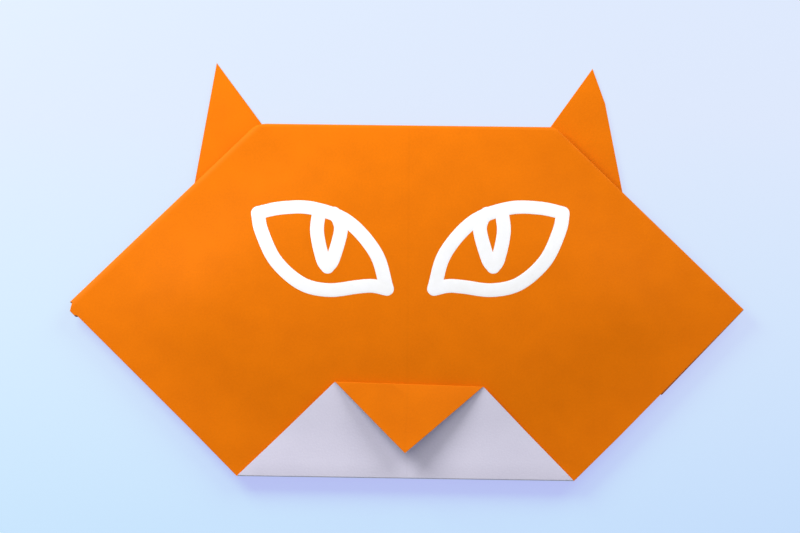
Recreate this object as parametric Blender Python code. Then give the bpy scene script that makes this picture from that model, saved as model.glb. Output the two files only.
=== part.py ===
# Origami cat face, folded from one square sheet and lying on its back, face up.
#
# The sheet starts as a thin flat solid and is bent round one crease after another, as a folder does it, so that
# its layers never run through each other. Sizes are in millimetres and angles in degrees. While it is folded the
# sheet lies in the face's plane: x to the viewer's right, y to the top of the head, z towards the viewer, with the
# origin at the peak where the two side folds would meet.

import math

import bmesh
import bpy
from mathutils import Matrix, Vector

MM = 0.001

# Paper
SHEET_SIDE = 150.0
PAPER = 0.1
AIR = 0.1  # between two layers that lie on each other
SHEET_CENTRE = (0.87, -0.95)  # the sheet's own centre, a little off the peak, as folded by hand
SHEET_LEAN = -0.55
RIGHT_CUT = -0.5  # how far the middle of both right sides was cut outside the true line
LEFT_CUT = 0.3
CUT_REACH = 28.0  # how far such an error runs along the side, each way
# The paper is nicked where the left side fold crosses both left sides: along the side, and out of it
NICK = (
    (-2.4, 0.0), (-2.1, 0.3), (-1.1, 0.3), (-0.6, -0.95), (0.0, -0.7),
    (0.6, -0.95), (1.1, 0.3), (2.1, 0.3), (2.4, 0.0),
)
BLUNT = 1.3  # the sheet's right corner is worn back
BLUNT_REACH = 7.0

# Body: each drop is measured from the peak down the middle of the face, and each lean from the x axis
LEFT_SIDE_SLOPE = 44.83
RIGHT_SIDE_SLOPE = 45.3
LEFT_SIDE_SLACK = 3.0  # how much further the outer layers run out than in a tight round fold
TOP_DROP = 23.78
TOP_LEAN = -0.71

# Ears: where each crease crosses the middle, its lean, and the room that an ear leaves over the top flap
LEFT_EAR_DROP = 54.07
LEFT_EAR_LEAN = 17.96
RIGHT_EAR_DROP = 54.67
RIGHT_EAR_LEAN = -17.62
EAR_ROOM = 0.1

# Muzzle and nose
CHIN_DROP = 80.76
CHIN_LEAN = -0.87
REAR_CHIN_INSET = 0.3
MUZZLE_SPRING = 2.0
NOSE_DROP = 66.11
NOSE_LEAN = -1.9
NOSE_RISE = 13.0  # how far the nose stands up from the face

# Eyes, drawn with a paint marker; each is given about its own middle, for the left eye
EYE_DROP = 44.36
EYE_SPACING = 27.91
EYES_SIDESTEP = 0.78
LINE_WIDTH = 2.18
LINE_HEIGHT = 0.06
UPPER_LID = ((-10.19, 5.89), (-6.47, 6.62), (-1.60, 6.54), (4.04, 4.34), (8.49, -0.85), (10.24, -6.58))
LOWER_LID = (
    (-10.19, 5.89), (-9.58, 2.88), (-7.31, -1.99), (-3.26, -5.67),
    (1.09, -6.76), (5.71, -6.23), (8.03, -6.10), (10.24, -6.58),
)
PUPIL_LEFT = ((-0.49, 5.97), (-0.78, 2.57), (0.11, -1.66), (0.91, -3.03))
PUPIL_RIGHT = ((0.91, -3.03), (1.77, -1.66), (2.93, 2.57), (2.69, 4.50), (1.84, 5.67))

# Finish
BEND_STEPS = 6
LINE_STEPS = 5  # pieces of line between two of its points
CAP_STEPS = 8
ORANGE = (0.96, 0.22, 0.004)
PAPER_WHITE = (0.78, 0.76, 0.80)
PAINT_WHITE = (0.93, 0.93, 0.92)

PITCH = PAPER + AIR  # from one layer to the next


def heading(angle):
    return Vector((math.cos(math.radians(angle)), math.sin(math.radians(angle)), 0.0))


class Edge:
    """A straight edge of the folded shape, with the direction in which the paper that moves lies past it."""

    def __init__(self, drop, past):
        self.point = Vector((0.0, -drop, 0.0))
        self.out = heading(past)

    def past(self, point):
        return (point - self.point).dot(self.out)

    def meet(self, other):
        """Where two edges cross, in the face's plane."""
        along = self.out.cross(Vector((0.0, 0.0, 1.0)))
        return self.point - along * (other.past(self.point) / along.dot(other.out))


LEFT_SIDE = Edge(0.0, 90 + LEFT_SIDE_SLOPE)
RIGHT_SIDE = Edge(0.0, 90 - RIGHT_SIDE_SLOPE)
TOP = Edge(TOP_DROP, 90 + TOP_LEAN)
LEFT_EAR = Edge(LEFT_EAR_DROP, LEFT_EAR_LEAN - 90)
RIGHT_EAR = Edge(RIGHT_EAR_DROP, RIGHT_EAR_LEAN - 90)
CHIN = Edge(CHIN_DROP, CHIN_LEAN - 90)
REAR_CHIN = Edge(CHIN_DROP - REAR_CHIN_INSET, CHIN_LEAN - 90)
NOSE = Edge(NOSE_DROP, NOSE_LEAN + 90)


def extrude(outline, low, high):
    """A closed solid over a flat outline."""
    solid = bmesh.new()
    base = solid.faces.new([solid.verts.new((p.x, p.y, low)) for p in outline])
    top = bmesh.ops.extrude_face_region(solid, geom=[base])["geom"]
    raised = [item for item in top if isinstance(item, bmesh.types.BMVert)]
    bmesh.ops.translate(solid, verts=raised, vec=(0.0, 0.0, high - low))
    bmesh.ops.recalc_face_normals(solid, faces=solid.faces)
    return solid


def flat_sheet():
    """The square, corner down, with the orange side up as the first material and the rest as the second."""
    centre = Vector((*SHEET_CENTRE, 0.0))
    half = SHEET_SIDE / math.sqrt(2)
    front, right, rear, left = (centre + heading(SHEET_LEAN + turn) * half for turn in (-90, 0, 90, 180))
    to_fold = (left - front).normalized()
    halfway = (front + left) / 2
    fold_at = -LEFT_SIDE.past(halfway) / to_fold.dot(LEFT_SIDE.out)
    sides = (
        (front, right, RIGHT_CUT, None), (right, rear, RIGHT_CUT, None),
        (rear, left, LEFT_CUT, fold_at), (left, front, LEFT_CUT, -fold_at),
    )
    outline = []
    for start, end, error, nick_at in sides:
        along = (end - start).normalized()
        out = along.cross(Vector((0.0, 0.0, 1.0)))
        middle = (start + end) / 2
        outline += [start, middle - along * CUT_REACH]
        if nick_at is None:
            outline.append(middle + out * error)
        else:
            outline += [middle + along * (nick_at + way) + out * (error + burr) for way, burr in NICK]
        outline.append(middle + along * CUT_REACH)
    at = outline.index(right)
    to_front, to_rear = ((corner - right).normalized() * BLUNT_REACH for corner in (front, rear))
    outline[at:at + 1] = [right + to_front, right + (centre - right).normalized() * BLUNT, right + to_rear]
    paper = extrude(outline, -PAPER / 2, PAPER / 2)
    for face in paper.faces:
        face.material_index = 0 if face.normal.z > 0.5 else 1
    return paper


def fold(paper, edge, axis, spring=0.0, slack=1.0, moves=lambda centre: True):
    """Bend the layers past an edge round a line at height axis, to the back if they lie above it.

    The bend is a half round, or an oval where slack is over 1, and its outermost layer reaches the edge. spring is
    the angle by which the fold stays open.
    """
    turn = math.radians(180 - spring)
    faces = [f for f in paper.faces if moves(f.calc_center_median())]
    heights = [v.co.z - axis for f in faces for v in f.verts if edge.past(v.co) > 0]
    side = math.copysign(1, heights[0])
    radius = max(abs(height) for height in heights)
    start = -slack * radius
    bend = turn * (radius - PAPER / 2) * (1 + slack) / 2
    geometry = {item for f in faces for item in (f, *f.edges, *f.verts)}
    for step in range(BEND_STEPS + 1):
        at = edge.point + edge.out * (start + bend * step / BEND_STEPS)
        cut = bmesh.ops.bisect_plane(paper, geom=list(geometry), dist=1e-5, plane_co=at, plane_no=edge.out)
        geometry = set(cut["geom"])
    for v in (item for item in geometry if isinstance(item, bmesh.types.BMVert)):
        gone = edge.past(v.co) - start
        if gone < 1e-4:
            continue
        angle = turn * min(gone / bend, 1.0)
        rest = max(gone - bend, 0.0)
        reach = side * (v.co.z - axis)
        v.co += edge.out * (slack * reach * math.sin(angle) + rest * math.cos(angle) - gone)
        v.co.z = axis + side * (reach * math.cos(angle) - rest * math.sin(angle))


def fold_body(paper):
    """Halve the sheet, bring both sharp corners behind to the bottom, and the peak behind."""
    fold(paper, Edge(-SHEET_CENTRE[1], 90 + SHEET_LEAN), axis=-PITCH / 2)
    fold(paper, LEFT_SIDE, axis=-1.5 * PITCH, slack=LEFT_SIDE_SLACK)
    fold(paper, RIGHT_SIDE, axis=-1.5 * PITCH, moves=lambda centre: centre.z > -1.5 * PITCH)
    fold(paper, TOP, axis=-3.5 * PITCH)


def fold_ear(paper, crease, side_edge, left):
    """Fold a flap's tip up behind the body, open just enough to pass behind the top flap's corner."""
    corner = TOP.meet(side_edge)
    spring = math.degrees(math.atan2(4 * PITCH + EAR_ROOM, -crease.past(corner)))

    def is_flap(centre):
        return (centre.x < 0) == left and -3.6 * PITCH < centre.z < -1.4 * PITCH

    fold(paper, crease, axis=-3.5 * PITCH, spring=spring, moves=is_flap)


def fold_chin(paper):
    """Fold the rear corner up behind, out to the level of the ears' tips, and the front one up in front."""
    def is_rear(centre):
        return -1.5 * PITCH < centre.z < -0.5 * PITCH

    level = -min(v.co.z for v in paper.verts)
    length = max(REAR_CHIN.past(v.co) for f in paper.faces if is_rear(f.calc_center_median()) for v in f.verts)
    spring = math.degrees(math.asin((level - 2 * PITCH - PAPER / 2) / length))
    fold(paper, REAR_CHIN, axis=-1.5 * PITCH, spring=spring, moves=is_rear)
    fold(paper, CHIN, axis=PITCH / 2, moves=lambda centre: abs(centre.z) < PITCH / 2)


def fold_nose(paper):
    """Fold the muzzle's tip down and leave it standing up from the face, then let the muzzle spring open."""
    fold(paper, NOSE, axis=1.5 * PITCH, spring=NOSE_RISE + MUZZLE_SPRING, moves=lambda centre: centre.z > PITCH / 2)
    for v in paper.verts:
        if v.co.z > PITCH / 2:
            v.co.z -= min(CHIN.past(v.co), 0.0) * math.tan(math.radians(MUZZLE_SPRING))


def material(name, colour, roughness):
    made = bpy.data.materials.new(name)
    made.use_nodes = True
    shader = made.node_tree.nodes["Principled BSDF"]
    shader.inputs["Base Color"].default_value = (*colour, 1.0)
    shader.inputs["Roughness"].default_value = roughness
    made.diffuse_color = (*colour, 1.0)
    return made


def add_object(name, shape):
    """An object from a bmesh in millimetres, stored in metres."""
    shape.transform(Matrix.Scale(MM, 4))
    mesh = bpy.data.meshes.new(name)
    shape.to_mesh(mesh)
    shape.free()
    made = bpy.data.objects.new(name, mesh)
    bpy.context.scene.collection.objects.link(made)
    return made


def folded_sheet():
    paper = flat_sheet()
    fold_body(paper)
    fold_ear(paper, LEFT_EAR, LEFT_SIDE, left=True)
    fold_ear(paper, RIGHT_EAR, RIGHT_SIDE, left=False)
    fold_chin(paper)
    fold_nose(paper)
    sheet = add_object("folded_sheet", paper)
    sheet.data.materials.append(material("orange_side", ORANGE, 0.75))
    sheet.data.materials.append(material("white_side", PAPER_WHITE, 0.85))
    return sheet


def smooth(points):
    """Points along a Catmull-Rom curve through the given ones."""
    through = [Vector(p) for p in points]
    padded = [2 * through[0] - through[1], *through, 2 * through[-1] - through[-2]]
    found = []
    for before, start, end, after in zip(padded, padded[1:], padded[2:], padded[3:]):
        for step in range(LINE_STEPS):
            t = step / LINE_STEPS
            found.append(
                0.5 * (2 * start + (end - before) * t
                + (2 * before - 5 * start + 4 * end - after) * t**2
                + (3 * start - before - 3 * end + after) * t**3)
            )
    return [*found, through[-1]]


def line_outline(points):
    """The outline of a round-ended line drawn through the points."""
    middle = smooth(points)
    half = LINE_WIDTH / 2
    ends = [middle[1] - middle[0], *(b - a for a, b in zip(middle, middle[2:])), middle[-1] - middle[-2]]
    across = [Vector((-way.y, way.x)).normalized() * half for way in ends]

    def cap(centre, start):
        turns = (-math.pi * step / CAP_STEPS for step in range(1, CAP_STEPS))
        return [centre + Matrix.Rotation(turn, 2) @ start for turn in turns]

    one_side = [p + a for p, a in zip(middle, across)]
    other_side = [p - a for p, a in zip(middle, across)]
    return [*one_side, *cap(middle[-1], across[-1]), *reversed(other_side), *cap(middle[0], -across[0])]


def painted_line(name, points, centre, mirrored):
    """A line of dried paint, flat on the front of the face."""
    flip = -1 if mirrored else 1
    outline = [centre + Vector((p.x * flip, p.y)) for p in line_outline(points)]
    return add_object(name, extrude(outline, PAPER / 2, PAPER / 2 + LINE_HEIGHT))


def eye(name, side):
    """The lids and the two sides of the slit pupil, joined into one line."""
    centre = Vector((EYES_SIDESTEP + side * EYE_SPACING / 2, -EYE_DROP))
    line = painted_line(name, UPPER_LID, centre, mirrored=side > 0)
    strokes = {"lower_lid": LOWER_LID, "pupil_left": PUPIL_LEFT, "pupil_right": PUPIL_RIGHT}
    for label, points in strokes.items():
        helper = painted_line(f"{name}_{label}", points, centre, mirrored=side > 0)
        helper.hide_render = True
        helper.display_type = "WIRE"
        join = line.modifiers.new(label, "BOOLEAN")
        join.operation = "UNION"
        join.object = helper
    line.data.materials.append(material(f"{name}_paint", PAINT_WHITE, 0.5))
    return line


def set_down(sheet):
    """Set everything down with the middle of its underside at the world's origin."""
    low, high = (Vector(pick(v.co[i] for v in sheet.data.vertices) for i in range(3)) for pick in (min, max))
    middle = (low + high) / 2
    for made in bpy.context.scene.objects:
        made.location = -Vector((middle.x, middle.y, low.z))


for old in list(bpy.data.objects):
    bpy.data.objects.remove(old)
the_sheet = folded_sheet()
eye("left_eye_line", -1)
eye("right_eye_line", 1)
set_down(the_sheet)
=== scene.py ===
# A cat face folded from one square of orange origami paper, with eyes drawn in white marker.
# Lengths are in millimetres and angles in degrees until a mesh is finished, and then in metres.

import math

import bmesh
import bpy
from mathutils import Matrix, Vector, noise


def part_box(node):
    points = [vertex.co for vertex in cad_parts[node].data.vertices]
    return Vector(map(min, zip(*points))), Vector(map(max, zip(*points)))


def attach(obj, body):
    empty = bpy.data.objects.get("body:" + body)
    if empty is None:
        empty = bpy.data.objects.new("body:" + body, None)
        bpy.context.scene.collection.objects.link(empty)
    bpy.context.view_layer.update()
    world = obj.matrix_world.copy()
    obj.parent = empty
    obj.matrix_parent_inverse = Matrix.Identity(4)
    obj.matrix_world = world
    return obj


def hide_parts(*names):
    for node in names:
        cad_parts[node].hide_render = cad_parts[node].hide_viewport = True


mm = 0.001
upwards = Vector((0.0, 0.0, 1.0))

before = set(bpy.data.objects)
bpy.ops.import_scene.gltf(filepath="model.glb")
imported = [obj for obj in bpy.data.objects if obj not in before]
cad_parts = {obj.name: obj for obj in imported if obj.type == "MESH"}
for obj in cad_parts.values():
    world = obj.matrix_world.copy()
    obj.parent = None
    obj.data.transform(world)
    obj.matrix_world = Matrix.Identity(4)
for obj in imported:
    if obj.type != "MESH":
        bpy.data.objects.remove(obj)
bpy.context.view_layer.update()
print("frame loaded:", ", ".join(sorted(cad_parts)))


# Small helpers

def linearColour(hexCode):      # sRGB hex to the linear colour that the shaders use
    channels = [int(hexCode[i:i + 2], 16) / 255 for i in (0, 2, 4)]
    return [c / 12.92 if c <= 0.04045 else ((c + 0.055) / 1.055) ** 2.4 for c in channels] + [1.0]


def addNode(tree, kind, inputs=None, **settings):
    node = tree.nodes.new(kind)
    for name, value in settings.items():
        setattr(node, name, value)
    for socket, source in (inputs or {}).items():
        if isinstance(source, bpy.types.NodeSocket):
            tree.links.new(source, node.inputs[socket])
        else:
            node.inputs[socket].default_value = source
    return node


def newMaterial(name):
    made = bpy.data.materials.new(name)
    made.use_nodes = True
    made.node_tree.nodes.clear()
    return made, made.node_tree


def heading(angle):
    return Vector((math.cos(math.radians(angle)), math.sin(math.radians(angle)), 0.0))


# The sheet: a thin solid is folded crease by crease, so that its layers never run through each other.
# While it is folded, x runs to the viewer's right, y to the top of the head and z towards the viewer,
# and the origin is the peak where the two side folds would meet.

sheet = {
    "side": 150.0,
    "paper": 0.1,
    "air": 0.1,                 # between two layers that lie on each other
    "centre": (0.87, -0.95),
    "lean": -0.55,              # the angle that the flat sheet's diagonal is turned by
    "rightCut": -0.5,           # the middle of both right sides was cut a little inside the true line
    "leftCut": 0.3,
    "cutReach": 28.0,
    "nick": (                   # where the left side fold crosses both left sides: along, out
        (-2.4, 0.0), (-2.1, 0.3), (-1.1, 0.3), (-0.6, -0.95), (0.0, -0.7),
        (0.6, -0.95), (1.1, 0.3), (2.1, 0.3), (2.4, 0.0),
    ),
    "blunt": 1.3,               # the right corner is worn back
    "bluntReach": 7.0,
    "bendSteps": 10,
    "gridStep": 3.0,
    "onCut": 1e-5,              # points this near to a cut count as on it
    "unmoved": 1e-4,            # and points this near to the start of a bend stay in place
    "sharpAngle": 32.0,
}

body = {
    "leftSlope": 44.83,         # how steeply the two side folds run down from the peak
    "rightSlope": 45.3,
    "leftSlack": 3.0,           # the left one is a flat bend, this many times wider than a round one
    "topDrop": 23.78,           # all drops are measured down from the peak
    "topLean": -0.71,
}

ears = {
    "leftDrop": 54.07,
    "leftLean": 17.96,
    "rightDrop": 54.67,
    "rightLean": -17.62,
    "room": 0.1,                # left where an ear passes the end of the top edge
    "flapLayers": (-3.6, -1.4),     # a side flap folds out as its ear between these heights, in layers
}

muzzle = {
    "chinDrop": 80.76,
    "chinLean": -0.87,
    "rearInset": 0.3,           # the rear corner folds just inside the front one
    "rearLayer": (-1.5, -0.5),  # and lies between these heights, in layers
    "spring": 2.0,              # how far the muzzle stands open from the face
    "noseDrop": 66.11,
    "noseLean": -1.9,
    "noseRise": 13.0,           # how far the nose stands up from the face
}

axisAt = {                      # heights of the folds' axes, in layers from the middle of the front one
    "diagonal": -0.5,
    "sides": -1.5,
    "top": -3.5,
    "ears": -3.5,
    "rearChin": -1.5,
    "chin": 0.5,
    "nose": 1.5,
}

paper = sheet["paper"]
pitch = sheet["paper"] + sheet["air"]


class Edge:
    # a straight edge of the folded shape, with the direction in which the paper that moves lies past it

    def __init__(self, drop, past):
        self.point = Vector((0.0, -drop, 0.0))
        self.out = heading(past)

    def past(self, point):
        return (point - self.point).dot(self.out)

    def meet(self, other):
        along = self.out.cross(upwards)
        return self.point - along * (other.past(self.point) / along.dot(other.out))


leftSide = Edge(0.0, 90 + body["leftSlope"])
rightSide = Edge(0.0, 90 - body["rightSlope"])
topEdge = Edge(body["topDrop"], 90 + body["topLean"])
leftEarCrease = Edge(ears["leftDrop"], ears["leftLean"] - 90)
rightEarCrease = Edge(ears["rightDrop"], ears["rightLean"] - 90)
chinEdge = Edge(muzzle["chinDrop"], muzzle["chinLean"] - 90)
rearChin = Edge(muzzle["chinDrop"] - muzzle["rearInset"], muzzle["chinLean"] - 90)
noseEdge = Edge(muzzle["noseDrop"], muzzle["noseLean"] + 90)


def extrude(outline, low, high):
    solid = bmesh.new()
    base = solid.faces.new([solid.verts.new((p.x, p.y, low)) for p in outline])
    top = bmesh.ops.extrude_face_region(solid, geom=[base])["geom"]
    raised = [item for item in top if isinstance(item, bmesh.types.BMVert)]
    bmesh.ops.translate(solid, verts=raised, vec=(0.0, 0.0, high - low))
    bmesh.ops.recalc_face_normals(solid, faces=solid.faces)
    return solid


def cutSquare():
    centre = Vector((*sheet["centre"], 0.0))
    half = sheet["side"] / math.sqrt(2)
    turns = (-90, 0, 90, 180)
    front, right, rear, left = (centre + heading(sheet["lean"] + turn) * half for turn in turns)
    toFold = (left - front).normalized()
    foldAt = -leftSide.past((front + left) / 2) / toFold.dot(leftSide.out)
    sides = (
        (front, right, sheet["rightCut"], None),
        (right, rear, sheet["rightCut"], None),
        (rear, left, sheet["leftCut"], foldAt),
        (left, front, sheet["leftCut"], -foldAt),
    )
    outline = []
    for start, end, error, nickAt in sides:
        along = (end - start).normalized()
        out = along.cross(upwards)
        middle = (start + end) / 2
        outline += [start, middle - along * sheet["cutReach"]]
        if nickAt is None:
            outline.append(middle + out * error)
        else:
            for way, burr in sheet["nick"]:
                outline.append(middle + along * (nickAt + way) + out * (error + burr))
        outline.append(middle + along * sheet["cutReach"])
    at = outline.index(right)
    toFront, toRear = ((corner - right).normalized() * sheet["bluntReach"] for corner in (front, rear))
    worn = right + (centre - right).normalized() * sheet["blunt"]
    outline[at:at + 1] = [right + toFront, worn, right + toRear]
    square = extrude(outline, -paper / 2, paper / 2)
    flat = square.loops.layers.uv.new("flatSheet")     # the material follows the flat paper
    square.verts.layers.float.new("foldEdgeHighlight")
    for face in square.faces:
        if face.normal.z > 0.5:
            face.material_index = 0
        elif face.normal.z < -0.5:
            face.material_index = 1
        else:
            face.material_index = 2
        for loop in face.loops:
            loop[flat].uv = loop.vert.co.xy * mm
    return square


def fold(square, edge, which, spring=0.0, slack=1.0, moves=lambda centre: True):
    # bends the layers past an edge round their axis; spring leaves the fold open by that angle
    axis = axisAt[which] * pitch
    turn = math.radians(180 - spring)
    worn = square.verts.layers.float["foldEdgeHighlight"]
    faces = [f for f in square.faces if moves(f.calc_center_median())]
    heights = [v.co.z - axis for f in faces for v in f.verts if edge.past(v.co) > 0]
    side = math.copysign(1, heights[0])
    radius = max(abs(height) for height in heights)
    start = -slack * radius
    bend = turn * (radius - paper / 2) * (1 + slack) / 2
    geometry = {item for f in faces for item in (f, *f.edges, *f.verts)}
    for step in range(sheet["bendSteps"] + 1):
        at = edge.point + edge.out * (start + bend * step / sheet["bendSteps"])
        cut = bmesh.ops.bisect_plane(
            square, geom=list(geometry), dist=sheet["onCut"], plane_co=at, plane_no=edge.out,
        )
        geometry = set(cut["geom"])
    for v in (item for item in geometry if isinstance(item, bmesh.types.BMVert)):
        gone = edge.past(v.co) - start
        if gone < sheet["unmoved"]:
            continue
        angle = turn * min(gone / bend, 1.0)
        rest = max(gone - bend, 0.0)
        reach = side * (v.co.z - axis)
        if gone < bend:
            # how far out on the bend a point lies sets the painted highlight along the fold edge
            v[worn] = max(v[worn], math.sin(angle))
        v.co += edge.out * (slack * reach * math.sin(angle) + rest * math.cos(angle) - gone)
        v.co.z = axis + side * (reach * math.cos(angle) - rest * math.sin(angle))


def foldEar(square, crease, sideEdge, left):
    corner = topEdge.meet(sideEdge)
    spring = math.degrees(math.atan2(4 * pitch + ears["room"], -crease.past(corner)))
    lowest, highest = (layer * pitch for layer in ears["flapLayers"])

    def isFlap(centre):
        return (centre.x < 0) == left and lowest < centre.z < highest

    fold(square, crease, "ears", spring=spring, moves=isFlap)


def foldChin(square):
    lowest, highest = (layer * pitch for layer in muzzle["rearLayer"])

    def isRear(centre):
        return lowest < centre.z < highest

    level = -min(v.co.z for v in square.verts)
    rear = [v.co for f in square.faces if isRear(f.calc_center_median()) for v in f.verts]
    length = max(rearChin.past(place) for place in rear)
    spring = math.degrees(math.asin((level - 2 * pitch - paper / 2) / length))
    fold(square, rearChin, "rearChin", spring=spring, moves=isRear)
    fold(square, chinEdge, "chin", moves=lambda centre: abs(centre.z) < pitch / 2)


def foldNose(square):
    # the nose folds down from the muzzle, and then both swing up about the chin's edge
    spring = muzzle["noseRise"] + muzzle["spring"]
    fold(square, noseEdge, "nose", spring=spring, moves=lambda centre: centre.z > pitch / 2)
    for v in square.verts:
        if v.co.z > pitch / 2:
            v.co.z -= min(chinEdge.past(v.co), 0.0) * math.tan(math.radians(muzzle["spring"]))


def cutGrid(square):
    # even cuts through all layers, so that the paper can settle in soft waves
    for direction in range(2):
        low = min(v.co[direction] for v in square.verts)
        high = max(v.co[direction] for v in square.verts)
        normal = Vector((0.0, 0.0, 0.0))
        normal[direction] = 1.0
        count = int((high - low) / sheet["gridStep"])
        for step in range(1, count + 1):
            at = normal * (low + step * sheet["gridStep"])
            everything = [*square.verts, *square.edges, *square.faces]
            bmesh.ops.bisect_plane(
                square, geom=everything, dist=sheet["onCut"], plane_co=at, plane_no=normal,
            )


def sortParts(parts, place):
    # the folded sheet's parts come in an order that varies from run to run, so they get a fixed one
    inOrder = sorted(parts, key=lambda part: tuple(place(part)))
    rank = {part: number for number, part in enumerate(inOrder)}
    parts.sort(key=lambda part: rank[part])


# Finishes of the sheet. Each pattern lies on the flat sheet, so it turns over with the paper. Each
# finish's worn colour is a paler one, painted on the folds' bends as a highlight.

dyedSide = {                    # uncoated folding paper with one side printed in solid orange: matt,
    "lit": "EF7A00",            # with a fine speckle where the fibres take less dye
    "deep": "E67400",
    "worn": "F08A38",
    "roughness": (0.50, 0.64),
    "specular": 0.06,
    "fibre": 0.34,              # real fibres are finer, but would not show at this distance
    "cloud": 5.0,
    "relief": 0.02,
}

plainSide = {                   # the same sheet's undyed side: soft cool white, a little rougher
    "lit": "E8E4F4",
    "deep": "E2DEEF",
    "worn": "EEEAF6",
    "roughness": (0.70, 0.84),
    "specular": 0.12,
    "fibre": 0.34,
    "cloud": 7.0,
    "relief": 0.02,
}

cutEdgeAndShade = {                     # the sheet's cut edge: peach where the dye has run a little into the pulp, and painted a little darker than that as shade along the edges
    "lit": "EBA86E",
    "deep": "E0975A",
    "worn": "F0BC90",
    "roughness": (0.75, 0.9),
    "specular": 0.1,
    "fibre": 0.30,
    "cloud": 3.0,
    "relief": 0.01,
}

paperPattern = {                # shared by the three finishes
    "mottle": (0.7, 1.3),       # where fibres and clouds together turn from deep to lit
    "fibres": (0.3, 0.7),       # where the fibres alone turn from smooth to rough
    "highlightShare": 0.12,             # how far a fold's colour goes towards the worn one, a painted highlight on the fold edges
}

centreCrease = {
    "width": 0.14,
    "softness": 0.22,
    "shade": 0.02,
    "depth": 0.004,
}


def paperMaterial(name, finish):
    material, tree = newMaterial(name)
    flat = addNode(tree, "ShaderNodeUVMap", uv_map="flatSheet").outputs["UV"]
    fibres = addNode(tree, "ShaderNodeTexNoise", {
        "Vector": flat, "Scale": 1 / (finish["fibre"] * mm), "Detail": 3.0, "Roughness": 0.65,
    })
    clouds = addNode(tree, "ShaderNodeTexNoise", {
        "Vector": flat, "Scale": 1 / (finish["cloud"] * mm), "Detail": 2.0, "Roughness": 0.5,
    })
    mottle = addNode(tree, "ShaderNodeMath", {
        0: fibres.outputs["Fac"], 1: clouds.outputs["Fac"],
    }, operation="ADD")
    share = addNode(tree, "ShaderNodeMapRange", {
        "Value": mottle.outputs["Value"],
        "From Min": paperPattern["mottle"][0], "From Max": paperPattern["mottle"][1],
    })
    ground = addNode(tree, "ShaderNodeMix", {
        0: share.outputs["Result"], 6: linearColour(finish["deep"]), 7: linearColour(finish["lit"]),
    }, data_type="RGBA")

    # the folds' bends are painted a little paler: a painted highlight along the fold edges
    foldEdgeHighlight = addNode(tree, "ShaderNodeAttribute", attribute_name="foldEdgeHighlight")
    highlightShare = addNode(tree, "ShaderNodeMath", {
        0: foldEdgeHighlight.outputs["Fac"], 1: paperPattern["highlightShare"],
    }, operation="MULTIPLY")
    highlighted = addNode(tree, "ShaderNodeMix", {
        0: highlightShare.outputs["Value"], 6: ground.outputs[2], 7: linearColour(finish["worn"]),
    }, data_type="RGBA")

    # the first crease, opened out again, runs down the sheet's diagonal
    lean = math.radians(sheet["lean"])
    offset = (sheet["centre"][0] * math.cos(lean) + sheet["centre"][1] * math.sin(lean)) * mm
    across = addNode(tree, "ShaderNodeVectorMath", {
        0: flat, 1: (math.cos(lean), math.sin(lean), 0.0),
    }, operation="DOT_PRODUCT")
    aside = addNode(tree, "ShaderNodeMath", {
        0: across.outputs["Value"], 1: offset,
    }, operation="SUBTRACT")
    away = addNode(tree, "ShaderNodeMath", {0: aside.outputs["Value"]}, operation="ABSOLUTE")
    crease = addNode(tree, "ShaderNodeMapRange", {
        "Value": away.outputs["Value"],
        "From Min": centreCrease["width"] / 2 * mm,
        "From Max": (centreCrease["width"] / 2 + centreCrease["softness"]) * mm,
        "To Min": 1.0, "To Max": 0.0,
    }, interpolation_type="SMOOTHSTEP")
    creaseShade = addNode(tree, "ShaderNodeMapRange", {
        "Value": crease.outputs["Result"], "To Min": 1.0, "To Max": 1.0 - centreCrease["shade"],
    })
    coloured = addNode(tree, "ShaderNodeVectorMath", {
        0: highlighted.outputs[2], "Scale": creaseShade.outputs["Result"],
    }, operation="SCALE")

    # the fibres stand up by hundredths of a millimetre and the crease is a shallow groove
    fibreHeight = addNode(tree, "ShaderNodeMath", {
        0: fibres.outputs["Fac"], 1: finish["relief"] * mm,
    }, operation="MULTIPLY")
    height = addNode(tree, "ShaderNodeMath", {
        0: crease.outputs["Result"], 1: -centreCrease["depth"] * mm, 2: fibreHeight.outputs["Value"],
    }, operation="MULTIPLY_ADD")
    bump = addNode(tree, "ShaderNodeBump", {"Height": height.outputs["Value"], "Distance": 1.0})
    roughness = addNode(tree, "ShaderNodeMapRange", {
        "Value": fibres.outputs["Fac"],
        "From Min": paperPattern["fibres"][0], "From Max": paperPattern["fibres"][1],
        "To Min": finish["roughness"][0], "To Max": finish["roughness"][1],
    })
    shader = addNode(tree, "ShaderNodeBsdfPrincipled", {
        "Base Color": coloured.outputs["Vector"],
        "Roughness": roughness.outputs["Result"],
        "Specular IOR Level": finish["specular"],
        "Normal": bump.outputs["Normal"],
    })
    addNode(tree, "ShaderNodeOutputMaterial", {"Surface": shader.outputs["BSDF"]})
    return material


orangePaper = paperMaterial("origami_paper_dyed_side", dyedSide)
whitePaper = paperMaterial("origami_paper_plain_side", plainSide)
paperEdgeAndShade = paperMaterial("origami_paper_cut_edge_and_shade", cutEdgeAndShade)
print("paper finishes made")


# How the folded paper settles: its front layer stands off the others in a low swell, a little unevenly

settled = {
    "swell": 1.6,
    "middle": -49.0,            # where the swell is highest, along y
    "halfHeight": 25.2,         # from there to its upper and lower ends
    "sideReach": 17.0,          # over which it rises from the side folds and the cut edges
    "wave": 0.09,
    "waveLength": 20.0,
}

lowerSides = (225, 315)         # the directions in which the flat sheet's two lower sides face


def ramp(distance, reach):      # from 0 to 1, starting and ending level
    share = min(max(distance / reach, 0.0), 1.0)
    return share * share * (3.0 - 2.0 * share)


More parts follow.
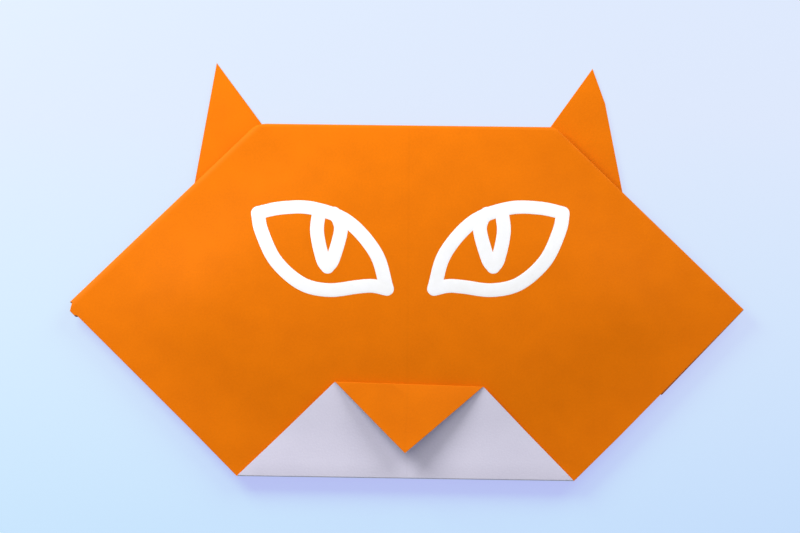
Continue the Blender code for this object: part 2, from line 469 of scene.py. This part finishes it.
def liftAt(x, y):
    place = Vector((x, y, 0.0))
    height = 1.0 - ((y - settled["middle"]) / settled["halfHeight"]) ** 2
    for side in (leftSide, rightSide):
        height *= ramp(-side.past(place), settled["sideReach"])
    fromCentre = place.xy - Vector(sheet["centre"])
    for facing in lowerSides:
        inside = sheet["side"] / 2 - fromCentre.dot(heading(sheet["lean"] + facing).xy)
        height *= ramp(inside, settled["sideReach"])
    wave = noise.noise(place / settled["waveLength"])
    return max(height, 0.0) * settled["swell"] + wave * settled["wave"]


def settle(mesh):
    # lifts the front layer and all that lies on it, and never presses it into the layers behind
    for v in mesh.vertices:
        if v.co.z > -paper:
            v.co.z += max(liftAt(v.co.x, v.co.y), 0.0)


def addInputs(tree, sizes):
    tree.interface.new_socket("Geometry", in_out="INPUT", socket_type="NodeSocketGeometry")
    for name, value in sizes.items():
        kind = "NodeSocketInt" if isinstance(value, int) else "NodeSocketFloat"
        tree.interface.new_socket(name, in_out="INPUT", socket_type=kind).default_value = value
    tree.interface.new_socket("Geometry", in_out="OUTPUT", socket_type="NodeSocketGeometry")
    return addNode(tree, "NodeGroupInput").outputs


def runTree(piece, tree, sizes):
    modifier = piece.modifiers.new(tree.name, "NODES")
    modifier.node_group = tree
    for item in tree.interface.items_tree:
        if item.in_out == "INPUT" and item.name in sizes:
            modifier[item.identifier] = sizes[item.name]
    bpy.context.view_layer.update()
    evaluated = piece.evaluated_get(bpy.context.evaluated_depsgraph_get())
    mesh = bpy.data.meshes.new_from_object(evaluated)
    piece.modifiers.remove(modifier)
    return mesh


# The folded sheet

square = cutSquare()
fold(square, Edge(-sheet["centre"][1], 90 + sheet["lean"]), "diagonal")
fold(square, leftSide, "sides", slack=body["leftSlack"])
fold(square, rightSide, "sides", moves=lambda centre: centre.z > axisAt["sides"] * pitch)
fold(square, topEdge, "top")
foldEar(square, leftEarCrease, leftSide, left=True)
foldEar(square, rightEarCrease, rightSide, left=False)
foldChin(square)
foldNose(square)
cutGrid(square)
sortParts(square.verts, lambda v: v.co)
sortParts(square.faces, lambda f: f.calc_center_median())
print("sheet folded")


def finishPiece(piece, mesh, sharpAngle):
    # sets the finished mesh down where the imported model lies, in metres
    mesh.transform(Matrix.Translation(setDown))
    mesh.transform(Matrix.Scale(mm, 4))
    mesh.shade_smooth()
    mesh.set_sharp_from_angle(angle=math.radians(sharpAngle))
    piece.data = mesh


def addPiece(name, shape, materials):
    mesh = bpy.data.meshes.new(name)
    shape.to_mesh(mesh)
    shape.free()
    for material in materials:
        mesh.materials.append(material)
    made = bpy.data.objects.new(name, mesh)
    bpy.context.scene.collection.objects.link(made)
    return made


catFace = addPiece("cat_face_paper", square, [orangePaper, whitePaper, paperEdgeAndShade])
paperMesh = catFace.data
settle(paperMesh)
low = Vector([min(v.co[i] for v in paperMesh.vertices) for i in range(3)])
high = Vector([max(v.co[i] for v in paperMesh.vertices) for i in range(3)])
cadLow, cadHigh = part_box("folded_sheet")
setDown = (cadLow + cadHigh) / (2 * mm) - (low + high) / 2
setDown.z = cadLow.z / mm - low.z
finishPiece(catFace, paperMesh, sheet["sharpAngle"])
print("sheet settled:", len(paperMesh.vertices), "points, set down by", [round(c, 3) for c in setDown])


# Camera: it looks down at the face, 12 degrees off the vertical from the chin's side

view = {
    "tilt": 12.2,
    "distance": 501.8,
    "lookAt": (-0.87, -46.97, 0.0),     # measured from the peak, as the folds are
    "lens": 142.93,
    "sensor": 36.0,
    "clipStart": 10.0,
}

camera = bpy.data.objects.new("camera", bpy.data.cameras.new("camera"))
camera.data.sensor_width = view["sensor"]
camera.data.lens = view["lens"]
camera.data.clip_start = view["clipStart"] * mm
tilt = math.radians(view["tilt"])
back = Vector((0.0, -math.sin(tilt), math.cos(tilt)))
camera.location = (Vector(view["lookAt"]) + setDown + back * view["distance"]) * mm
camera.rotation_euler = (tilt, 0.0, 0.0)
bpy.context.scene.collection.objects.link(camera)
bpy.context.scene.camera = camera
print("camera placed")


# Eyes: opaque white marker drawn along the lids and round the slit pupil, dried to a low rounded ridge

eyes = {
    "drop": 44.36,
    "spacing": 27.91,
    "sidestep": 0.78,
    "strokes": (                # the lids, then the pupil's two sides: along to the nose, and up
        ((-10.19, 5.89), (-6.47, 6.62), (-1.60, 6.54), (4.04, 4.34), (8.49, -0.85), (10.24, -6.58)),
        ((-10.19, 5.89), (-9.58, 2.88), (-7.31, -1.99), (-3.26, -5.67),
         (1.09, -6.76), (5.71, -6.23), (8.03, -6.10), (10.24, -6.58)),
        ((-0.49, 5.97), (-0.78, 2.57), (0.11, -1.66), (0.91, -3.03)),
        ((0.91, -3.03), (1.77, -1.66), (2.93, 2.57), (2.69, 4.50), (1.84, 5.67)),
    ),
    "pathSteps": 12,
    "sharpAngle": 50.0,
}

markerLine = {
    "Line Width": 2.18,
    "Line Height": 0.04,
    "Step Length": 0.15,
    "Round Steps": 9,
}

justOverWhole = 1.0003          # keeps a line's tip from shrinking to nothing

markerInk = {                   # water-based paint marker: opaque, dries satin and a little uneven
    "lit": "FFFFFF",
    "thin": "FCFCFA",
    "roughness": 0.45,
    "specular": 0.35,
    "patch": 1.6,
    "patches": (0.35, 0.65),    # where the patches turn from thin to lit
    "grain": 0.25,
    "relief": 0.003,
}


def inkMaterial():
    material, tree = newMaterial("paint_marker_white")
    place = addNode(tree, "ShaderNodeTexCoord").outputs["Object"]
    patches = addNode(tree, "ShaderNodeTexNoise", {
        "Vector": place, "Scale": 1 / (markerInk["patch"] * mm), "Detail": 2.0, "Roughness": 0.5,
    })
    grain = addNode(tree, "ShaderNodeTexNoise", {
        "Vector": place, "Scale": 1 / (markerInk["grain"] * mm), "Detail": 2.0, "Roughness": 0.6,
    })
    share = addNode(tree, "ShaderNodeMapRange", {
        "Value": patches.outputs["Fac"],
        "From Min": markerInk["patches"][0], "From Max": markerInk["patches"][1],
    })
    colour = addNode(tree, "ShaderNodeMix", {
        0: share.outputs["Result"],
        6: linearColour(markerInk["thin"]), 7: linearColour(markerInk["lit"]),
    }, data_type="RGBA")
    height = addNode(tree, "ShaderNodeMath", {
        0: grain.outputs["Fac"], 1: markerInk["relief"] * mm,
    }, operation="MULTIPLY")
    bump = addNode(tree, "ShaderNodeBump", {"Height": height.outputs[0], "Distance": 1.0})
    shader = addNode(tree, "ShaderNodeBsdfPrincipled", {
        "Base Color": colour.outputs[2],
        "Roughness": markerInk["roughness"],
        "Specular IOR Level": markerInk["specular"],
        "Normal": bump.outputs["Normal"],
    })
    addNode(tree, "ShaderNodeOutputMaterial", {"Surface": shader.outputs["BSDF"]})
    return material


def markerTree(ink):
    # a low half-round profile follows each stroke and narrows in a round end
    tree = bpy.data.node_groups.new("markerStrokes", "GeometryNodeTree")
    given = addInputs(tree, markerLine)
    half = addNode(tree, "ShaderNodeMath", {
        0: given["Line Width"], 1: 0.5,
    }, operation="MULTIPLY").outputs[0]
    even = addNode(tree, "GeometryNodeResampleCurve", {
        "Curve": given["Geometry"], "Length": given["Step Length"],
    }, mode="LENGTH")
    level = addNode(tree, "GeometryNodeSetCurveNormal", {"Curve": even.outputs[0]}, mode="Z_UP")
    along = addNode(tree, "GeometryNodeSplineParameter").outputs["Length"]
    whole = addNode(tree, "GeometryNodeSplineLength").outputs["Length"]
    left = addNode(tree, "ShaderNodeMath", {0: whole, 1: along}, operation="SUBTRACT")
    toEnd = addNode(tree, "ShaderNodeMath", {0: along, 1: left.outputs[0]}, operation="MINIMUM")
    short = addNode(tree, "ShaderNodeMath", {
        0: toEnd.outputs[0], 1: half,
    }, operation="DIVIDE", use_clamp=True)
    gap = addNode(tree, "ShaderNodeMath", {0: 1.0, 1: short.outputs[0]}, operation="SUBTRACT")
    squared = addNode(tree, "ShaderNodeMath", {0: gap.outputs[0], 1: 2.0}, operation="POWER")
    rest = addNode(tree, "ShaderNodeMath", {
        0: justOverWhole, 1: squared.outputs[0],
    }, operation="SUBTRACT")
    roundEnd = addNode(tree, "ShaderNodeMath", {0: rest.outputs[0]}, operation="SQRT")
    arc = addNode(tree, "GeometryNodeCurveArc", {
        "Resolution": given["Round Steps"], "Radius": 1.0, "Sweep Angle": -math.pi,
    }, mode="RADIUS")
    size = addNode(tree, "ShaderNodeCombineXYZ", {"X": half, "Y": given["Line Height"], "Z": 1.0})
    dome = addNode(tree, "GeometryNodeTransform", {
        "Geometry": arc.outputs["Curve"], "Scale": size.outputs[0],
    })
    closed = addNode(tree, "GeometryNodeSetSplineCyclic", {"Geometry": dome.outputs[0], "Cyclic": True})
    swept = addNode(tree, "GeometryNodeCurveToMesh", {
        "Curve": level.outputs[0], "Profile Curve": closed.outputs[0],
        "Scale": roundEnd.outputs[0], "Fill Caps": True,
    })
    joined = addNode(tree, "GeometryNodeMeshBoolean", {
        "Mesh 2": swept.outputs[0], "Self Intersection": True,
    }, operation="UNION", solver="EXACT")
    real = addNode(tree, "GeometryNodeRealizeInstances", {"Geometry": joined.outputs["Mesh"]})
    inked = addNode(tree, "GeometryNodeSetMaterial", {"Geometry": real.outputs[0], "Material": ink})
    addNode(tree, "NodeGroupOutput", {"Geometry": inked.outputs[0]})
    return tree


def smoothPath(points):
    # a Catmull-Rom curve through the points, run on by half a line's width at both ends
    through = [Vector(p) for p in points]
    padded = [2 * through[0] - through[1], *through, 2 * through[-1] - through[-2]]
    found = []
    for before, start, end, after in zip(padded, padded[1:], padded[2:], padded[3:]):
        for step in range(eyes["pathSteps"]):
            t = step / eyes["pathSteps"]
            found.append(
                0.5 * (2 * start + (end - before) * t
                + (2 * before - 5 * start + 4 * end - after) * t**2
                + (3 * start - before - 3 * end + after) * t**3)
            )
    found.append(through[-1])
    half = markerLine["Line Width"] / 2
    first = found[0] + (found[0] - found[1]).normalized() * half
    last = found[-1] + (found[-1] - found[-2]).normalized() * half
    return [first, *found, last]


def drawEye(name, side):
    strokes = bpy.data.curves.new(name + "_strokes", "CURVE")
    strokes.dimensions = "3D"
    for points in eyes["strokes"]:
        path = smoothPath(points)
        spline = strokes.splines.new("POLY")
        spline.points.add(len(path) - 1)
        for point, place in zip(spline.points, path):
            x = eyes["sidestep"] + side * (eyes["spacing"] / 2 - place.x)
            point.co = (x, place.y - eyes["drop"], 0.0, 1.0)
    drawn = bpy.data.objects.new(name + "_strokes", strokes)
    bpy.context.scene.collection.objects.link(drawn)
    lines = runTree(drawn, markerStrokes, markerLine)
    bpy.data.objects.remove(drawn)
    lines.transform(Matrix.Translation((0.0, 0.0, paper / 2)))
    lines.name = name
    eye = bpy.data.objects.new(name, lines)
    bpy.context.scene.collection.objects.link(eye)
    settle(lines)
    finishPiece(eye, lines, eyes["sharpAngle"])
    print(name, "drawn:", len(lines.vertices), "points")
    return eye


markerWhite = inkMaterial()
markerStrokes = markerTree(markerWhite)
leftEye = drawEye("left_eye_marker_line", -1)
rightEye = drawEye("right_eye_marker_line", 1)


# Floor

floorCard = {                   # smooth pale card; what it shows is partly a glow of its own, which
    "near": "87BA76",           # keeps its shadows light and bluish
    "far": "616F55",
    "glowNear": "AAACEE",
    "glowFar": "D0D7F4",
    "turnFrom": -45.0,          # along y, where near begins to turn to far, and where it is far. Far, nearer the lamps, has a darker colour and a brighter glow: painted light that evens out the lamps' falloff and keeps shadows there light
    "turnTo": 25.0,
    "roughness": 0.5,
    "size": 3000.0,
}


def seenRays(tree):
    # 1 for a ray that looks at the surroundings, 0 for one that gathers light
    paths = addNode(tree, "ShaderNodeLightPath").outputs
    seen = addNode(tree, "ShaderNodeMath", {
        0: paths["Is Camera Ray"], 1: paths["Is Glossy Ray"],
    }, operation="MAXIMUM")
    shown = addNode(tree, "ShaderNodeMath", {
        0: seen.outputs[0], 1: paths["Is Transmission Ray"],
    }, operation="MAXIMUM")
    return shown.outputs[0]


def floorMaterial():
    material, tree = newMaterial("smooth_pale_card")
    place = addNode(tree, "ShaderNodeTexCoord").outputs["Object"]
    parts = addNode(tree, "ShaderNodeSeparateXYZ", {0: place})
    share = addNode(tree, "ShaderNodeMapRange", {
        "Value": parts.outputs["Y"],
        "From Min": floorCard["turnFrom"] * mm, "From Max": floorCard["turnTo"] * mm,
    })
    colour = addNode(tree, "ShaderNodeMix", {
        0: share.outputs[0], 6: linearColour(floorCard["near"]), 7: linearColour(floorCard["far"]),
    }, data_type="RGBA")
    glow = addNode(tree, "ShaderNodeMix", {
        0: share.outputs[0],
        6: linearColour(floorCard["glowNear"]), 7: linearColour(floorCard["glowFar"]),
    }, data_type="RGBA")
    matt = addNode(tree, "ShaderNodeBsdfDiffuse", {
        "Color": colour.outputs[2], "Roughness": floorCard["roughness"],
    })
    plain = addNode(tree, "ShaderNodeEmission", {"Color": glow.outputs[2], "Strength": seenRays(tree)})
    both = addNode(tree, "ShaderNodeAddShader", {0: matt.outputs[0], 1: plain.outputs[0]})
    addNode(tree, "ShaderNodeOutputMaterial", {"Surface": both.outputs[0]})
    return material


floorMesh = bpy.data.meshes.new("floor")
reach = floorCard["size"] / 2 * mm
floorCorners = [(x * reach, y * reach, 0.0) for x, y in ((-1, -1), (1, -1), (1, 1), (-1, 1))]
floorMesh.from_pydata(floorCorners, [], [(0, 1, 2, 3)])
floorMesh.materials.append(floorMaterial())
floor = bpy.data.objects.new("floor", floorMesh)
bpy.context.scene.collection.objects.link(floor)


# Light: a soft lamp from the upper left, a wider one from the upper right, and an even surround

lamps = {
    "leftLamp": {
        "place": (-140.0, 120.0, 120.0), "aim": (-40.0, 20.0, 0.0),
        "size": 130.0, "level": 0.85, "colour": "FFFFFF",
    },
    "rightLamp": {
        "place": (160.0, 180.0, 135.0), "aim": (30.0, 20.0, 0.0),
        "size": 200.0, "level": 0.385, "colour": "FFFFFF",
    },
}

surround = {
    "colour": "F2F4FF",
    "strength": 0.30,
    "backdrop": "DCE9FF",       # what is seen past the floor
}


def addLamp(name, lamp):
    # level is about the share of full brightness that this lamp alone gives a level surface at its aim
    light = bpy.data.lights.new(name, "AREA")
    light.shape = "DISK"
    light.size = lamp["size"] * mm
    light.color = linearColour(lamp["colour"])[:3]
    away = (Vector(lamp["place"]) - Vector(lamp["aim"])) * mm
    light.energy = lamp["level"] * math.pi**2 * away.length**3 / away.z
    made = bpy.data.objects.new(name, light)
    made.location = Vector(lamp["place"]) * mm
    made.rotation_euler = away.to_track_quat("Z", "Y").to_euler()
    bpy.context.scene.collection.objects.link(made)


for name, lamp in lamps.items():
    addLamp(name, lamp)

world = bpy.data.worlds.new("surround")
world.use_nodes = True
bpy.context.scene.world = world
tree = world.node_tree
tree.nodes.clear()
even = addNode(tree, "ShaderNodeBackground", {
    "Color": linearColour(surround["colour"]), "Strength": surround["strength"],
})
backdrop = addNode(tree, "ShaderNodeBackground", {
    "Color": linearColour(surround["backdrop"]), "Strength": 1.0,
})
either = addNode(tree, "ShaderNodeMixShader", {
    0: seenRays(tree), 1: even.outputs[0], 2: backdrop.outputs[0],
})
addNode(tree, "ShaderNodeOutputWorld", {"Surface": either.outputs[0]})
bpy.context.scene.view_settings.view_transform = "Standard"
print("floor and light set")


# Hand-over to the frame

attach(catFace, "root")
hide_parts("folded_sheet")
for eye, node in ((leftEye, "left_eye_line"), (rightEye, "right_eye_line")):
    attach(eye, "root")
    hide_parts(node)
